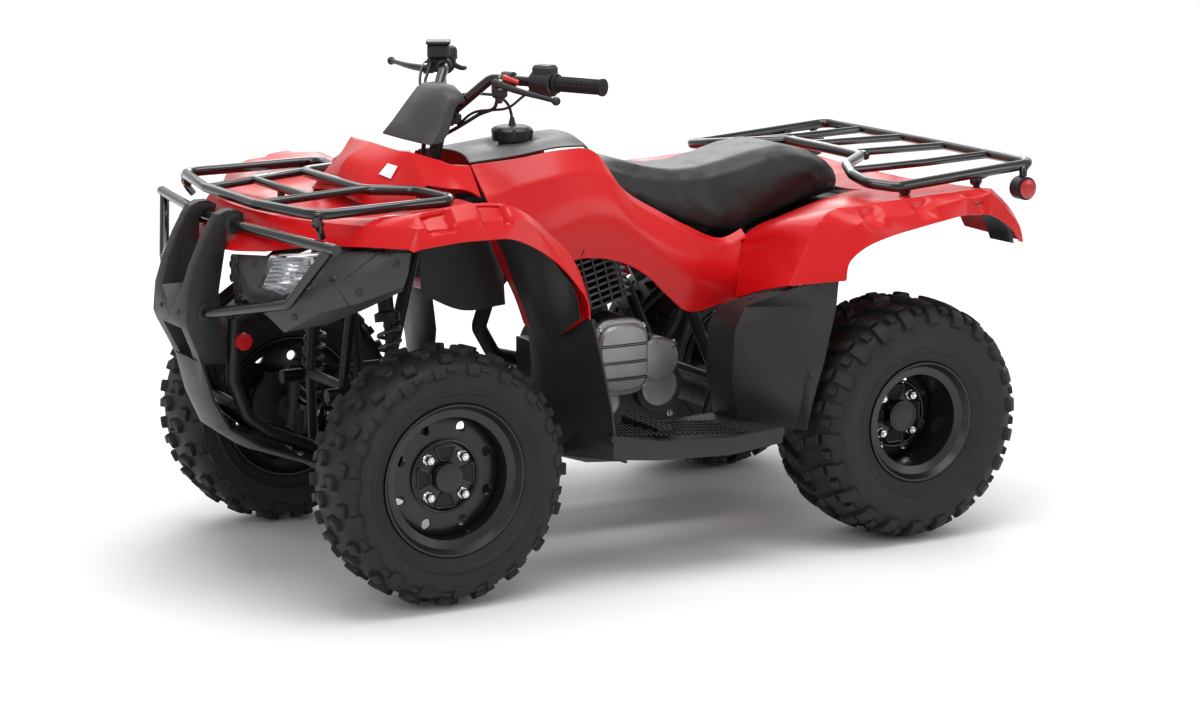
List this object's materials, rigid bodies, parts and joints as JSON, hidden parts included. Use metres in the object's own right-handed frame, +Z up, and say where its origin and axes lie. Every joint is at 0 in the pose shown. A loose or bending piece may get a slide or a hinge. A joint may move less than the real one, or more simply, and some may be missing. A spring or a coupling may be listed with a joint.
{
  "type": "quad bike",
  "caption": "Utility quad bike with a long padded seat, tubular racks over both fenders, a lengthwise engine, a solid driven rear axle and handlebar steering",
  "frame": {"origin": "middle of the whole length and width, on the ground under the tyres", "axes": "+X forward, +Y to the rider's left, +Z up"},
  "size_m": [1.901, 1.026, 1.0827],
  "materials": {
    "frame_paint": "satin black paint",
    "cast_grey": "painted cast iron",
    "shock_steel": "silver painted spring",
    "engine_alloy": "cast alloy, dull",
    "cylinder_black": "matte black fins",
    "exhaust_black": "heatproof matte black",
    "bumper_plastic": "textured black plastic",
    "tube_black": "gloss black powder coat",
    "red_plastic": "glossy moulded red",
    "grey_plastic": "fine grained dark grey",
    "lamp_clear": "clear lens",
    "seat_vinyl": "black vinyl",
    "lamp_red": "moulded red lens",
    "plain_steel": "zinc plated",
    "grip_rubber": "ribbed rubber",
    "cable_rubber": "cable sheath",
    "tyre": "knobbly tyre rubber",
    "wheel_black": "black painted steel"
  },
  "bodies": {
    "chassis": {"frame": "frame_paint", "swingarm": "cast_grey", "rear_shock": "shock_steel", "engine_case": "engine_alloy", "engine_cylinder": "cylinder_black", "exhaust": "exhaust_black", "front_bumper": "bumper_plastic", "brush_guard": "tube_black", "front_rack": "tube_black", "rear_rack": "tube_black", "front_fender": "red_plastic", "front_covers": "grey_plastic", "headlights": "lamp_clear", "tank_cover": "grey_plastic", "fuel_cap": "bumper_plastic", "side_covers": "red_plastic", "seat": "seat_vinyl", "rear_fender": "red_plastic", "footwell_left": "grey_plastic", "footwell_right": "grey_plastic", "tail_lights": "lamp_red", "suspension_arms": "frame_paint", "front_shocks": "shock_steel", "reflectors": "lamp_red", "hitch_plate": "frame_paint", "foot_controls": "plain_steel", "steering_bearings": "cast_grey"},
    "steering": {"steering_column": "frame_paint", "handlebar": "tube_black", "grips": "grip_rubber", "handlebar_cover": "grey_plastic", "hand_controls": "bumper_plastic", "cables": "cable_rubber"},
    "knuckle_l": {"knuckle_left": "cast_grey"},
    "knuckle_r": {"knuckle_right": "cast_grey"},
    "rod_l": {"tie_rod_left": "plain_steel"},
    "rod_r": {"tie_rod_right": "plain_steel"},
    "front_wheel_l": {"tyre_front_left": "tyre", "wheel_front_left": "wheel_black"},
    "front_wheel_r": {"tyre_front_right": "tyre", "wheel_front_right": "wheel_black"},
    "rear_wheels": {"axle_rear": "plain_steel", "wheels_rear": "wheel_black", "tyre_rear_left": "tyre", "tyre_rear_right": "tyre"}
  },
  "joints": [
    {"name": "steer", "type": "hinge", "parent": "chassis", "child": "steering", "pos_m": [0.4835, 0, 0.29], "axis": [-0.2488, 0, 0.9685], "range_deg": [-40, 40]},
    {"name": "knuckle_left_turn", "type": "hinge", "parent": "chassis", "child": "knuckle_l", "pos_m": [0.5315, 0.343, 0.188], "axis": [-0.0628, -0.1006, 0.9929], "range_deg": [-26, 26]},
    {"name": "knuckle_right_turn", "type": "hinge", "parent": "chassis", "child": "knuckle_r", "pos_m": [0.5315, -0.343, 0.188], "axis": [-0.0628, 0.1006, 0.9929], "range_deg": [-26, 26]},
    {"name": "tie_rod_left_turn", "type": "hinge", "parent": "steering", "child": "rod_l", "pos_m": [0.42442, 0.024, 0.27482], "axis": [-0.2488, 0, 0.9685], "range_deg": [-40, 40]},
    {"name": "tie_rod_right_turn", "type": "hinge", "parent": "steering", "child": "rod_r", "pos_m": [0.42442, -0.024, 0.27482], "axis": [-0.2488, 0, 0.9685], "range_deg": [-40, 40]},
    {"name": "front_wheel_left_spin", "type": "hinge", "parent": "knuckle_l", "child": "front_wheel_l", "pos_m": [0.5355, 0.405, 0.268], "axis": [0, 1, 0], "continuous": true},
    {"name": "front_wheel_right_spin", "type": "hinge", "parent": "knuckle_r", "child": "front_wheel_r", "pos_m": [0.5355, -0.405, 0.268], "axis": [0, 1, 0], "continuous": true},
    {"name": "rear_axle_spin", "type": "hinge", "parent": "chassis", "child": "rear_wheels", "pos_m": [-0.5945, 0, 0.268], "axis": [0, 1, 0], "continuous": true}
  ],
  "couplings": [
    {"joint": "knuckle_left_turn", "follows": "steer", "ratio": 0.65},
    {"joint": "knuckle_right_turn", "follows": "steer", "ratio": 0.65},
    {"joint": "tie_rod_left_turn", "follows": "steer", "ratio": -1},
    {"joint": "tie_rod_right_turn", "follows": "steer", "ratio": -1}
  ]
}
